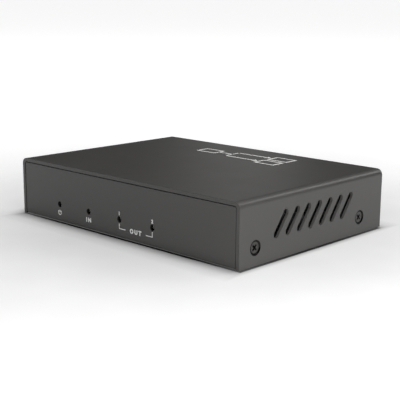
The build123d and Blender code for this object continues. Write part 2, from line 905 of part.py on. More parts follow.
def board_pieces():
    """The board and everything soldered flat on it."""
    return {
        "main_board": main_board(),
        "splitter_chip": splitter_chip(),
        "thermal_pad": thermal_pad(),
        "heat_sink": heat_sink(),
        "controller_chip": on_board(controller_place_shares)
        * chip(controller_size, controller_size, controller_sheet),
        "memory_chip": group(memory_chip()),
        "surge_protectors": group(surge_protectors()),
        "voltage_regulators": group(
            [on_board(shares) * voltage_regulator() for shares in regulator_place_shares]
        ),
        "power_inductor": power_inductor(),
        "electrolytic_capacitors": group(
            [on_board(shares) * electrolytic_capacitor() for shares in capacitor_place_shares]
        ),
        "clock_crystal": clock_crystal(),
        "ceramic_capacitors": group(ceramic_capacitors()),
        "resettable_fuse": on_board(fuse_place_shares) * block(fuse_length, fuse_width, fuse_height),
    }


def all_nodes():
    """Every piece by its node name."""
    nodes = case_and_fixings()
    nodes.update(board_pieces())
    nodes.update(video_sockets())
    nodes.update(power_jack())
    nodes.update(setting_switch())
    nodes.update(status_lamps())
    return nodes


for node, shape in all_nodes().items():
    export_step(shape, f"parts/{node}.step")
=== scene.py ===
import json
import math

import bmesh
import bpy
from mathutils import Matrix, Vector


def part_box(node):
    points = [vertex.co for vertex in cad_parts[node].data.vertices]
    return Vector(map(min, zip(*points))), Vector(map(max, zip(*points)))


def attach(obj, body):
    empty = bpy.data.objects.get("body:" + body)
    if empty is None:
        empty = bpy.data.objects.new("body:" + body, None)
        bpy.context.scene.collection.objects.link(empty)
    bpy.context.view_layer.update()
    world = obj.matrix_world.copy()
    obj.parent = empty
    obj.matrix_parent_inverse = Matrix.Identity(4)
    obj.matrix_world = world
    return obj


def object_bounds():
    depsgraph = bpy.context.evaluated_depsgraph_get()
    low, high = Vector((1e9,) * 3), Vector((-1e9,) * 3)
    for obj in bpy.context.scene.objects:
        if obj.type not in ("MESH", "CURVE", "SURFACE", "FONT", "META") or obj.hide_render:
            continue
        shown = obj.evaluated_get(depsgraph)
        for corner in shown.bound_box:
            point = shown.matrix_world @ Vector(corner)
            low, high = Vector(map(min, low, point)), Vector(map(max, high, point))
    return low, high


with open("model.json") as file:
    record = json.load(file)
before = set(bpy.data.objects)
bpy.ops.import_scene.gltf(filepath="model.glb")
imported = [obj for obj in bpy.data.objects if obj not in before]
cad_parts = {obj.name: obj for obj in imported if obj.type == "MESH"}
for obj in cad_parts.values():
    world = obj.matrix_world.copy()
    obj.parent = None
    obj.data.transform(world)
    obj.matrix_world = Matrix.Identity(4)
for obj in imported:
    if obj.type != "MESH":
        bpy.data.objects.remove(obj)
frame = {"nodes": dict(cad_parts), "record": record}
cad_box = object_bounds()

# Lengths are metres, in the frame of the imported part
MM = 0.001
CASE_BODY = "case"

# Camera, set at the photograph's viewing angle
frame_pixels = 400
focal_pixels = 911.0
sensor_width = 36.0
camera_place = Vector((263.51, -277.07, 94.68)) * MM
camera_yaw = math.radians(43.406)
camera_pitch = math.radians(12.654)
camera_roll = math.radians(0.442)
camera_clip = 0.01

# Printed marks on the front panel
ink_sheet = 0.02 * MM
ink_stroke = 0.36 * MM
word_height = 2.0 * MM
number_height = 1.55 * MM
letter_weight = 0.115
word_spacing = 1.5
word_level = 4.5 * MM
number_level = 10.5 * MM
power_mark_radius = 0.95 * MM
power_mark_stroke = 0.45 * MM
power_mark_gap = math.radians(38)
power_mark_foot = 0.25
bracket_low = 4.35 * MM
bracket_high = 6.15 * MM
bracket_inset = 3.4 * MM

# Printed diagram on the cover: a source, a fork and two screens
diagram_place = Vector((1.5, 27.0)) * MM
diagram_stroke = 0.85 * MM
screen_width = 11.0 * MM
screen_height = 7.4 * MM
diagram_reach = 19.0 * MM
diagram_rise = 4.6 * MM
diagram_fork = 0.3
arrow_length = 2.6 * MM
arrow_slope = 0.6

# Floor: a painted shadow under the part and in a line past its sides, a painted contact shadow beside it, and
# white further out. The painted shadow fades side_squeeze times faster beside the sides than before the front
floor_drop = 0.1 * MM
floor_reach = 80.0
floor_hole_inset = 4.0 * MM
floor_cloud = 40 * MM
floor_tones = (0.72, 0.76)
under_shadow_tone = (0.03, 0.03, 0.03)
side_line = 0.7 * MM
side_squeeze = 4.0
contact_reach = 12 * MM
contact_shadow_fade = [(0.0, 0.5), (0.12, 0.68), (0.35, 0.82), (1.0, 1.0)]
floor_glow = [(0.06, 0.0), (0.10, 0.16), (0.15, 0.32), (0.25, 0.5), (0.6, 0.8), (1.0, 0.9)]

# Paint: its grain, and the zones by |x|, |y| and |z| where its colour is changed: painted shade inside the
# case, in the lamp holes, deep in the slots and on the low bends, edges and sides, and a painted highlight on
# the slot walls
paint_grain = 0.28 * MM
paint_grain_tones = (0.88, 1.14)
paint_grain_share = 0.5
paint_drift = 22 * MM
paint_drift_tones = (0.93, 1.07)
paint_roughness = (0.33, 0.41)
paint_relief = 0.006 * MM
paint_edge = 0.18 * MM
paint_gloss = 0.5
painted_shade_gloss = 0.06
cover_sheet = 1.5 * MM
panel_sheet = 1.2 * MM
panel_inset = 0.15 * MM
film_margin = 0.06 * MM
half_size = cad_box[1]
inside_wall = half_size.x - cover_sheet
panel_face = half_size.y - panel_inset
inside_panel = panel_face - panel_sheet
inside_top = half_size.z - cover_sheet
lamp_band = (3 * MM, 22 * MM)
slot_band = (8.2 * MM, 20 * MM)
slot_reach = 30 * MM
slot_depth = (inside_wall - 0.2 * MM, inside_wall + 0.42 * MM)
low_bend = 1.15 * MM
low_edge = 0.6 * MM
# Zones with a tone below 1 are painted shade with less gloss; slot_walls is a painted highlight
PAINT_ZONES = [
    ("inside", (0, 0, panel_sheet / 2), (inside_wall, inside_panel, inside_top), 0.12),
    ("lamp_holes", (0, inside_panel, lamp_band[0]), (inside_wall - MM, panel_face, lamp_band[1]), 0.25),
    ("slot_walls", (inside_wall, 0, slot_band[0]), (half_size.x, slot_reach, slot_band[1]), 1.75),
    ("slot_depths", (slot_depth[0], 0, slot_band[0]), (slot_depth[1], slot_reach, slot_band[1]), 0.1),
    ("low_bends", (0, inside_panel, 0), (half_size.x, half_size.y, low_bend), 0.85),
    ("low_edges", (0, inside_panel, 0), (half_size.x, half_size.y, low_edge), 0.5),
    ("low_sides", (0, 0, 0), (inside_wall, inside_panel, panel_sheet), 0.25),
]

# Side screws by their (y, z), with painted shade in their seats, a darker painted shadow spot off-centre in
# each seat and a painted shade ring round their heads
screw_axes = [(-36.2 * MM, 7.1 * MM), (29.3 * MM, 7.1 * MM)]
countersink_radius = 3.1 * MM
countersink_tone = 0.6
countersink_dark_shift = (2.5 * MM, -1.5 * MM)
countersink_dark_radius = 1.2 * MM
countersink_dark_tone = 0.05
screw_outer_radius = 3.65 * MM
screw_unshaded_radius = 2.15 * MM
screw_unshaded_shift = (0.22 * MM, 0.05 * MM)
screw_rim_tone = 0.1
screw_rise = MM
screw_wear = 0.5 * MM
screw_wear_tones = (0.7, 1.25)
screw_roughness = (0.28, 0.46)
screw_relief = 0.004 * MM
screw_edge = 0.06 * MM

# Grain of the other materials: sizes, tones as factors of the colour, and roughness. A span multiplies the
# roughness that a metal or a plastic is given
metal_stain = 2.5 * MM
metal_stain_tones = (0.82, 1.0)
metal_mark_tones = (0.6, 1.1)
metal_mark_share = 0.25
metal_roughness_span = (0.7, 1.4)
metal_relief = 0.002 * MM
metal_edge = 0.05 * MM
plastic_drift = 4 * MM
plastic_tones = (0.85, 1.15)
plastic_roughness_span = (0.85, 1.15)
plastic_edge = 0.06 * MM
can_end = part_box("electrolytic_capacitors")[1].z - film_margin
can_stain = 0.8 * MM
can_sleeve_tones = (0.7, 1.3)
can_end_tones = (0.85, 1.0)
can_roughness = (0.26, 0.36)
can_edge = 0.1 * MM
track_pitch = 3.2 * MM
track_edge = (0.05, 0.09)
weave_pitch = 1.2 * MM
weave_share = 0.15
weave_tone = 0.6
board_relief = 0.01 * MM
mask_roughness = 0.28
mask_coat = 0.3
lens_cloud = 0.8 * MM
lens_dark = (0.42, 0.44, 0.43)
lens_light = (0.60, 0.62, 0.60)
lens_roughness = (0.18, 0.3)
lens_transmission = 0.35
lens_ior = 1.5
ink_grain = 0.18 * MM
ink_tones = (0.82, 1.0)
ink_roughness = (0.5, 0.65)
ink_relief = 0.003 * MM

# Soft boxes: name, (azimuth, elevation, distance), size, power and whether gloss shows the box
STUDIO = [
    ("overhead", (0, 85, 1.2), 0.5, 10.6, True),
    ("back_right", (60, 70, 1.2), 0.5, 1.0, True),
    ("right", (0, 5, 1.2), 0.4, 2.4, False),
    ("near_right", (-30, 9, 0.30), 0.1, 0.38, False),
]

# World: where the sky fades upwards, and the azimuths and tops of the dark flags and the card, all in
# degrees. Only below_edge is a height on the unit sphere
horizon_edge = (3, 24)
sky_low = 0.95
sky_high = 0.14
flag_edges = [(104, 116), (168, 152)]
flag_top_edge = (38, 58)
side_flag_edges = [(18, 34), (88, 70)]
below_edge = (0.0, -0.05)
below_strength = 0.5
card_edges = [(126.5, 128.0), (137.0, 131.0)]
card_top_edge = (12, 20)
card_strength = 0.49
box_direction = (72, 33)
box_radius = 12
box_strength = 4.2


def shader_tree(name):
    """A new material with its node tree and its surface shader."""
    material = bpy.data.materials.new(name)
    material.use_nodes = True
    tree = material.node_tree
    return material, tree, tree.nodes["Principled BSDF"]


def node(tree, kind, **values):
    """Add a node; values are its settings or, where it has a socket of that name, its inputs."""
    made = tree.nodes.new(kind)
    for key, value in values.items():
        label = key.replace("_", " ").title()
        if label in made.inputs:
            made.inputs[label].default_value = value
        else:
            setattr(made, key, value)
    return made


def place_texture(tree, stretch=(1, 1, 1)):
    """Coordinates in metres on the part, stretched along its axes."""
    coordinates = tree.nodes.new("ShaderNodeTexCoord")
    mapping = node(tree, "ShaderNodeMapping", scale=stretch)
    tree.links.new(coordinates.outputs["Object"], mapping.inputs["Vector"])
    return mapping.outputs["Vector"]


def noise(tree, place, size, detail=3.0, roughness=0.55):
    """Noise with features of the given size in metres."""
    made = node(tree, "ShaderNodeTexNoise", scale=1 / size, detail=detail, roughness=roughness)
    tree.links.new(place, made.inputs["Vector"])
    return made.outputs["Fac"]


def ramp(tree, factor, stops):
    """A colour ramp through (position, colour) stops."""
    made = tree.nodes.new("ShaderNodeValToRGB")
    elements = made.color_ramp.elements
    while len(elements) < len(stops):
        elements.new(0.5)
    for element, (position, colour) in zip(elements, stops):
        element.position = position
        element.color = (*colour, 1)
    tree.links.new(factor, made.inputs["Fac"])
    return made.outputs["Color"]


def mix(tree, factor, first, second):
    """Mix two colours by a factor."""
    made = node(tree, "ShaderNodeMix", data_type="RGBA")
    for socket, value in (("Factor", factor), ("A", first), ("B", second)):
        target = next(s for s in made.inputs if s.name == socket and s.enabled)
        if isinstance(value, bpy.types.NodeSocket):
            tree.links.new(value, target)
        elif isinstance(value, tuple):
            target.default_value = (*value, 1)
        else:
            target.default_value = value
    return next(s for s in made.outputs if s.enabled)


def spread(tree, factor, low, high):
    """Stretch a 0 to 1 factor to run from low to high."""
    made = node(tree, "ShaderNodeMapRange")
    made.inputs["To Min"].default_value = low
    made.inputs["To Max"].default_value = high
    tree.links.new(factor, made.inputs["Value"])
    return made.outputs["Result"]


def arithmetic(tree, operation, first, second=0.0):
    """One step of arithmetic on sockets or numbers."""
    made = node(tree, "ShaderNodeMath", operation=operation)
    for target, value in zip(made.inputs, (first, second)):
        if isinstance(value, bpy.types.NodeSocket):
            tree.links.new(value, target)
        else:
            target.default_value = value
    return made.outputs[0]


def axes(tree, vector):
    """The X, Y and Z of a vector."""
    made = tree.nodes.new("ShaderNodeSeparateXYZ")
    tree.links.new(vector, made.inputs[0])
    return [made.outputs[letter] for letter in "XYZ"]


def bump(tree, shader, height, depth, edge=0.0):
    """Raise the surface by depth metres where height is 1, and round sharp edges in shading."""
    made = node(tree, "ShaderNodeBump", strength=1.0, distance=depth)
    tree.links.new(height, made.inputs["Height"])
    if edge:
        rounded = node(tree, "ShaderNodeBevel", samples=4, radius=edge)
        tree.links.new(rounded.outputs["Normal"], made.inputs["Normal"])
    tree.links.new(made.outputs["Normal"], shader.inputs["Normal"])


def shaded(colour, factor):
    """A colour, lighter or darker by a factor."""
    return tuple(channel * factor for channel in colour)


def grey(level):
    """A neutral colour."""
    return (level, level, level)


def mottle(tree, factor, colour, tones, stops=(0.3, 0.7)):
    """A colour that runs between two tones of itself as a factor runs between two stops."""
    return ramp(tree, factor, [(stop, shaded(colour, tone)) for stop, tone in zip(stops, tones)])


def roughen(tree, shader, factor, low, high):
    """Let the roughness run from low to high with a factor."""
    tree.links.new(spread(tree, factor, low, high), shader.inputs["Roughness"])


def outside(tree, place, low, high):
    """How far a point lies outside a box of |x|, |y| and |z| that is shrunk by the film margin."""
    low, high = Vector(low), Vector(high)
    half = (high - low) / 2 - Vector((film_margin, film_margin, film_margin))
    point = place
    for operation, amount in (("ABSOLUTE", None), ("SUBTRACT", (low + high) / 2), ("ABSOLUTE", None),
                              ("SUBTRACT", half)):
        step = node(tree, "ShaderNodeVectorMath", operation=operation)
        tree.links.new(point, step.inputs[0])
        if amount is not None:
            step.inputs[1].default_value = amount
        point = step.outputs["Vector"]
    x, y, z = axes(tree, point)
    return arithmetic(tree, "MAXIMUM", arithmetic(tree, "MAXIMUM", x, y), z)


def within(tree, place, low, high):
    """1 inside a box of |x|, |y| and |z|, kept clear of its faces by the film margin, 0 outside."""
    return arithmetic(tree, "LESS_THAN", outside(tree, place, low, high), 0.0)


def round_axis(tree, place, axis, radius, rise=-film_margin):
    """1 within a radius of an axis along X, given by its (y, z), up to a rise over the outer face."""
    x, *across = axes(tree, place)
    offsets = [arithmetic(tree, "SUBTRACT", along, value) for along, value in zip(across, axis)]
    squares = [arithmetic(tree, "MULTIPLY", offset, offset) for offset in offsets]
    near = arithmetic(tree, "LESS_THAN", arithmetic(tree, "ADD", *squares), radius ** 2)
    depth = arithmetic(tree, "LESS_THAN", arithmetic(tree, "ABSOLUTE", x), half_size.x + rise)
    return arithmetic(tree, "MULTIPLY", near, depth)


def shifted(axis, shift):
    """An axis given by its (y, z), moved sideways."""
    return [along + step for along, step in zip(axis, shift)]


def powder_coat(name, colour):
    """Satin powder coat: fine grain, slow drift of tone, painted shade with less gloss in zones and screw
    seats, and a painted highlight on the slot walls.
    """
    material, tree, shader = shader_tree(name)
    place = place_texture(tree)
    grain = noise(tree, place, paint_grain, detail=4)
    drift = noise(tree, place, paint_drift, detail=2)
    speckle = mottle(tree, grain, colour, paint_grain_tones)
    toned = mix(tree, drift, *[shaded(colour, tone) for tone in paint_drift_tones])
    film = mix(tree, paint_grain_share, toned, speckle)
    hidden = 0.0
    # Painted shade in the dark zones, with less gloss there, and a painted highlight on the slot walls
    for _, low, high, tone in PAINT_ZONES:
        zone = within(tree, place, low, high)
        film = mix(tree, zone, film, shaded(colour, tone))
        if tone < 1:
            hidden = arithmetic(tree, "MAXIMUM", zone, hidden)
    # Painted shade in each screw seat, with less gloss, and a painted shadow spot off its centre
    for axis in screw_axes:
        recess = round_axis(tree, place, axis, countersink_radius)
        film = mix(tree, recess, film, shaded(colour, countersink_tone))
        deep = round_axis(tree, place, shifted(axis, countersink_dark_shift), countersink_dark_radius)
        film = mix(tree, deep, film, shaded(colour, countersink_dark_tone))
        hidden = arithmetic(tree, "MAXIMUM", recess, hidden)
    tree.links.new(film, shader.inputs["Base Color"])
    # Less gloss where the paint holds painted shade
    gloss = spread(tree, hidden, paint_gloss, painted_shade_gloss)
    tree.links.new(gloss, shader.inputs["Specular IOR Level"])
    roughen(tree, shader, drift, *paint_roughness)
    bump(tree, shader, grain, paint_relief, edge=paint_edge)
    return material


def plated_metal(name, colour, roughness, stretch=(1, 1, 1), grain_size=0.3 * MM):
    """Plated sheet or turned metal, with fine marks along one direction and faint stains."""
    material, tree, shader = shader_tree(name)
    shader.inputs["Metallic"].default_value = 1.0
    marks = noise(tree, place_texture(tree, stretch), grain_size, detail=5, roughness=0.7)
    stains = noise(tree, place_texture(tree), metal_stain, detail=3)
    toned = mottle(tree, stains, colour, metal_stain_tones, (0.3, 0.65))
    marked = mottle(tree, marks, colour, metal_mark_tones, (0.25, 0.75))
    tree.links.new(mix(tree, metal_mark_share, toned, marked), shader.inputs["Base Color"])
    roughen(tree, shader, marks, *[roughness * part for part in metal_roughness_span])
    bump(tree, shader, marks, metal_relief, edge=metal_edge)
    return material


def screw_steel(name, colour):
    """Black plated screw head: turned marks, a painted shade ring at its rim and worn high spots."""
    material, tree, shader = shader_tree(name)
    shader.inputs["Metallic"].default_value = 1.0
    place = place_texture(tree)
    wear = noise(tree, place, screw_wear, detail=5, roughness=0.7)
    film = mottle(tree, wear, colour, screw_wear_tones, (0.35, 0.65))
    # A painted shade ring round each head, outside an off-centre unshaded middle
    for axis in screw_axes:
        head = round_axis(tree, place, axis, screw_outer_radius, screw_rise)
        unshaded = round_axis(tree, place, shifted(axis, screw_unshaded_shift), screw_unshaded_radius, screw_rise)
        ring = arithmetic(tree, "SUBTRACT", head, unshaded)
        film = mix(tree, ring, film, shaded(colour, screw_rim_tone))
    tree.links.new(film, shader.inputs["Base Color"])
    roughen(tree, shader, wear, *screw_roughness)
    bump(tree, shader, wear, screw_relief, edge=screw_edge)
    return material


def sleeved_can(name, metal, sleeve):
    """Capacitor can in a shrunk sleeve that leaves its metal end bare."""
    material, tree, shader = shader_tree(name)
    place = place_texture(tree)
    stains = noise(tree, place, can_stain, detail=3)
    bare = arithmetic(tree, "GREATER_THAN", axes(tree, place)[2], can_end)
    wrap = mottle(tree, stains, sleeve, can_sleeve_tones)
    end = mottle(tree, stains, metal, can_end_tones)
    tree.links.new(mix(tree, bare, wrap, end), shader.inputs["Base Color"])
    tree.links.new(bare, shader.inputs["Metallic"])
    roughen(tree, shader, stains, *can_roughness)
    bump(tree, shader, stains, metal_relief, edge=can_edge)
    return material


def moulded_plastic(name, colour, roughness, grain_size=0.12 * MM, depth=0.004 * MM):
    """Moulded plastic with a fine even texture."""
    material, tree, shader = shader_tree(name)
    place = place_texture(tree)
    grain = noise(tree, place, grain_size, detail=3)
    drift = noise(tree, place, plastic_drift, detail=2)
    toned = mix(tree, drift, *[shaded(colour, tone) for tone in plastic_tones])
    tree.links.new(toned, shader.inputs["Base Color"])
    roughen(tree, shader, grain, *[roughness * part for part in plastic_roughness_span])
    bump(tree, shader, grain, depth, edge=plastic_edge)
    return material


def solder_mask(name, colour, copper):
    """Green circuit board: tracks under a glossy mask, over a woven laminate."""
    material, tree, shader = shader_tree(name)
    tracks = node(tree, "ShaderNodeTexVoronoi", distance="MANHATTAN", feature="DISTANCE_TO_EDGE",
                  scale=1 / track_pitch)
    tree.links.new(place_texture(tree), tracks.inputs["Vector"])
    weave = node(tree, "ShaderNodeTexWave", wave_type="BANDS", bands_direction="DIAGONAL",
                 scale=1 / weave_pitch)
    tree.links.new(place_texture(tree), weave.inputs["Vector"])
    track = ramp(tree, tracks.outputs["Distance"], [*zip(track_edge, (copper, colour))])
    woven = mix(tree, spread(tree, weave.outputs["Fac"], 0.0, weave_share), track, shaded(colour, weave_tone))
    tree.links.new(woven, shader.inputs["Base Color"])
    shader.inputs["Roughness"].default_value = mask_roughness
    shader.inputs["Coat Weight"].default_value = mask_coat
    bump(tree, shader, tracks.outputs["Distance"], board_relief)
    return material


def lamp_lens(name):
    """Milky epoxy of an unlit lamp."""
    material, tree, shader = shader_tree(name)
    cloud = noise(tree, place_texture(tree), lens_cloud, detail=3)
    milk = ramp(tree, cloud, [(0.3, lens_dark), (0.7, lens_light)])
    tree.links.new(milk, shader.inputs["Base Color"])
    roughen(tree, shader, cloud, *lens_roughness)
    shader.inputs["Transmission Weight"].default_value = lens_transmission
    shader.inputs["IOR"].default_value = lens_ior
    return material


def printed_ink(name, colour):
    """Screen printed ink, a little uneven where it covers the paint's grain."""
    material, tree, shader = shader_tree(name)
    cover = noise(tree, place_texture(tree), ink_grain, detail=4)
    tree.links.new(mottle(tree, cover, colour, ink_tones, (0.25, 0.5)), shader.inputs["Base Color"])
    roughen(tree, shader, cover, *ink_roughness)
    bump(tree, shader, cover, ink_relief)
    return material


MATERIALS = {
    "case_paint": powder_coat("case_paint", (0.060, 0.0585, 0.056)),
    "black_steel": screw_steel("black_steel", (0.105, 0.103, 0.10)),
    "plated_steel": plated_metal("plated_steel", (0.60, 0.60, 0.58), 0.3),
    "shell_steel": plated_metal("shell_steel", (0.62, 0.61, 0.57), 0.24, stretch=(1, 0.12, 1)),
    "plated_pin": plated_metal("plated_pin", (0.66, 0.66, 0.64), 0.25),
    "contact_gold": plated_metal("contact_gold", (0.85, 0.60, 0.22), 0.2),
    # The board's dark green is darkened further as painted shade inside the case
    "board_laminate": solder_mask("board_laminate", (0.005, 0.045, 0.018), (0.018, 0.10, 0.042)),
    "chip_black": moulded_plastic("chip_black", (0.02, 0.02, 0.021), 0.55),
    "pad_rubber": moulded_plastic("pad_rubber", (0.33, 0.37, 0.45), 0.8, grain_size=0.4 * MM),
    "sink_aluminium": plated_metal("sink_aluminium", (0.05, 0.05, 0.055), 0.45, stretch=(1, 0.1, 1)),
    "ferrite_grey": moulded_plastic("ferrite_grey", (0.10, 0.10, 0.105), 0.7),
    "can_aluminium": sleeved_can("can_aluminium", (0.72, 0.72, 0.73), (0.02, 0.02, 0.022)),
    "can_steel": plated_metal("can_steel", (0.70, 0.70, 0.68), 0.22),
    "ceramic_tan": moulded_plastic("ceramic_tan", (0.40, 0.27, 0.15), 0.5),
    "fuse_green": moulded_plastic("fuse_green", (0.05, 0.20, 0.09), 0.5),
    "black_plastic": moulded_plastic("black_plastic", (0.018, 0.018, 0.019), 0.42),
    "switch_plastic": moulded_plastic("switch_plastic", (0.02, 0.02, 0.022), 0.4),
    "lever_plastic": moulded_plastic("lever_plastic", (0.78, 0.78, 0.75), 0.45),
    "lamp_lens": lamp_lens("lamp_lens"),
}
INK = printed_ink("white_ink", (0.93, 0.93, 0.91))


def dress_frame():
    """Give every carried-over node the material of its slot."""
    for entry in frame["record"]["subparts"]:
        carried = frame["nodes"][entry["node"]]
        carried.data.materials.clear()
        carried.data.materials.append(MATERIALS[entry["material_slot"]])


def print_on(name, mesh, place):
    """Put a flat mesh on the case as a printed mark: place turns its local +Z outwards."""
    mark = bpy.data.objects.new(name, mesh)
    bpy.context.scene.collection.objects.link(mark)
    mark.data.materials.clear()
    mark.data.materials.append(INK)
    mark.matrix_world = place
    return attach(mark, CASE_BODY)


def sheet_mesh(name, outlines):
    """A thin printed sheet from closed outlines of (x, y) points."""
    mesh = bpy.data.meshes.new(name)
    form = bmesh.new()
    for outline in outlines:
        form.faces.new([form.verts.new((x, y, 0)) for x, y in outline])
    bmesh.ops.recalc_face_normals(form, faces=form.faces)
    made = bmesh.ops.extrude_face_region(form, geom=form.faces[:])
    moved = [g for g in made["geom"] if isinstance(g, bmesh.types.BMVert)]
    bmesh.ops.translate(form, verts=moved, vec=(0, 0, ink_sheet))
    bmesh.ops.recalc_face_normals(form, faces=form.faces)
    form.to_mesh(mesh)
    form.free()
    return mesh


def stroke(start, end, width):
    """The outline of a straight stroke between two points, square at both ends."""
    start, end = Vector(start), Vector(end)
    along = (end - start).normalized() * width / 2
    across = Vector((-along.y, along.x))
    corners = (start - along - across, end + along - across, end + along + across, start - along + across)
    return [tuple(corner) for corner in corners]


def arc_band(radius, width, start, end, steps=28):
    """The outline of a bent stroke along an arc round the middle."""
    angles = [start + (end - start) * i / steps for i in range(steps + 1)]
    outer, inner = radius + width / 2, radius - width / 2
    return ([(outer * math.cos(angle), outer * math.sin(angle)) for angle in angles]
            + [(inner * math.cos(angle), inner * math.sin(angle)) for angle in reversed(angles)])


def word_mesh(name, text, height, spacing=1.0):
    """Printed letters, centred on their own middle, with capitals of the given height."""
    curve = bpy.data.curves.new(name, "FONT")
    curve.body = text
    curve.align_x = "CENTER"
    curve.align_y = "CENTER"
    curve.offset = letter_weight / 2
    curve.space_character = spacing
    curve.extrude = ink_sheet / height / 2
    lettering = bpy.data.objects.new(name, curve)
    bpy.context.scene.collection.objects.link(lettering)
    bpy.context.view_layer.update()
    mesh = bpy.data.meshes.new_from_object(lettering.evaluated_get(bpy.context.evaluated_depsgraph_get()))
    bpy.data.objects.remove(lettering)
    low = Vector(map(min, *[v.co for v in mesh.vertices]))
    high = Vector(map(max, *[v.co for v in mesh.vertices]))
    scale = height / (high.y - low.y)
    middle = (low + high) / 2
    mesh.transform(Matrix.Scale(scale, 4) @ Matrix.Translation((-middle.x, -middle.y, 0)))
    thickness = Matrix.Diagonal((1, 1, ink_sheet / ((high.z - low.z) * scale), 1))
    mesh.transform(Matrix.Translation((0, 0, ink_sheet / 2)) @ thickness)
    return mesh


def on_front(x, z):
    """A place on the front panel, local +Z outwards and local Y up."""
    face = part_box("base_chassis")[0].y
    return Matrix.Translation((x, face, z)) @ Matrix.Rotation(math.pi / 2, 4, "X")


def on_top(x, y):
    """A place on the cover's top, local +Z up."""
    return Matrix.Translation((x, y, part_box("top_cover")[1].z))


def lamp_column(name):
    """A lamp's place across the case."""
    low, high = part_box(name)
    return (low.x + high.x) / 2


def front_word(name, text, height, place, spacing=1.0):
    """A printed word or number at an (x, z) place on the front panel."""
    print_on(name, word_mesh(name, text, height, spacing), on_front(*place))


def front_marks():
    """The front panel's marks: power symbol, port words, port numbers and their bracket."""
    power, source, first, second = [lamp_column(name) for name in (
        "power_lamp", "input_lamp", "output_1_lamp", "output_2_lamp")]
    middle, half = (first + second) / 2, (second - first) / 2
    start, end = math.pi / 2 + power_mark_gap, 5 * math.pi / 2 - power_mark_gap
    ring = arc_band(power_mark_radius, power_mark_stroke, start, end)
    bar = stroke((0, power_mark_foot * power_mark_radius), (0, power_mark_radius), power_mark_stroke)
    print_on("power_mark", sheet_mesh("power_mark", [ring, bar]), on_front(power, word_level))
    front_word("input_word", "IN", word_height, (source, word_level), word_spacing)
    front_word("output_word", "OUT", word_height, (middle, word_level), word_spacing)
    front_word("output_1_number", "1", number_height, (first, number_level))
    front_word("output_2_number", "2", number_height, (second, number_level))
    arms = []
    for side in (-1, 1):
        corner = (side * half, bracket_low)
        arms.append(stroke((side * half, bracket_high), corner, ink_stroke))
        foot = (side * (half - bracket_inset), bracket_low)
        arms.append(stroke(foot, (side * (half - ink_stroke), bracket_low), ink_stroke))
    print_on("output_bracket", sheet_mesh("output_bracket", arms), on_front(middle, 0))


def frame_outlines(centre, width, height, line):
    """Four strokes round a rectangle."""
    x, y = centre
    half_x, half_y = (width - line) / 2, (height - line) / 2
    return [
        stroke((x - half_x, y - half_y), (x + half_x, y - half_y), line),
        stroke((x - half_x, y + half_y), (x + half_x, y + half_y), line),
        stroke((x - half_x, y - half_y + line), (x - half_x, y + half_y - line), line),
        stroke((x + half_x, y - half_y + line), (x + half_x, y + half_y - line), line),
    ]


def arrow(tip, length):
    """A solid arrow head that points to the right."""
    x, y = tip
    return [(x, y), (x - length, y + length * arrow_slope), (x - length, y - length * arrow_slope)]


def cover_diagram():
    """A plain diagram on the cover: one source line that forks to two screens."""
    line = diagram_stroke
    outlines = frame_outlines((-diagram_reach, 0), screen_width, screen_height, line)
    fork = -diagram_fork * diagram_reach
    outlines.append(stroke((-diagram_reach + screen_width / 2, 0), (fork, 0), line))
    outlines.append(stroke((fork, -diagram_rise), (fork, diagram_rise), line))
    tip = diagram_reach - screen_width / 2 - line / 2
    for rise in (-diagram_rise, diagram_rise):
        outlines.append(stroke((fork, rise), (tip - arrow_length, rise), line))
        outlines.append(arrow((tip, rise), arrow_length))
        outlines += frame_outlines((diagram_reach, rise), screen_width, screen_height, line)
    print_on("cover_diagram", sheet_mesh("cover_diagram", outlines), on_top(*diagram_place))


def stage_floor():
    """A pale floor, open under the part and from below, so that the underside can be seen."""
    xs, ys = [(-floor_reach, low + floor_hole_inset, high - floor_hole_inset, floor_reach)
              for low, high in zip(*[corner[:2] for corner in cad_box])]
    row = len(xs)
    points = [(x, y, -floor_drop) for y in ys for x in xs]
    cells = [j * row + i for j in range(row - 1) for i in range(row - 1) if (i, j) != (1, 1)]
    mesh = bpy.data.meshes.new("floor")
    mesh.from_pydata(points, [], [(start, start + 1, start + row + 1, start + row) for start in cells])
    floor = bpy.data.objects.new("floor", mesh)
    bpy.context.scene.collection.objects.link(floor)
    floor.data.materials.append(floor_material())


def unseen(tree):
    """1 for all rays but the camera's own."""
    rays = tree.nodes.new("ShaderNodeLightPath")
    return arithmetic(tree, "SUBTRACT", 1.0, rays.outputs["Is Camera Ray"])


def seen(tree):
    """1 for rays that show a background: from the camera, off a glossy surface or through glass."""
    rays = tree.nodes.new("ShaderNodeLightPath")
    mirrored = arithmetic(tree, "MAXIMUM", rays.outputs["Is Glossy Ray"], rays.outputs["Is Transmission Ray"])
    return arithmetic(tree, "MAXIMUM", rays.outputs["Is Camera Ray"], mirrored)


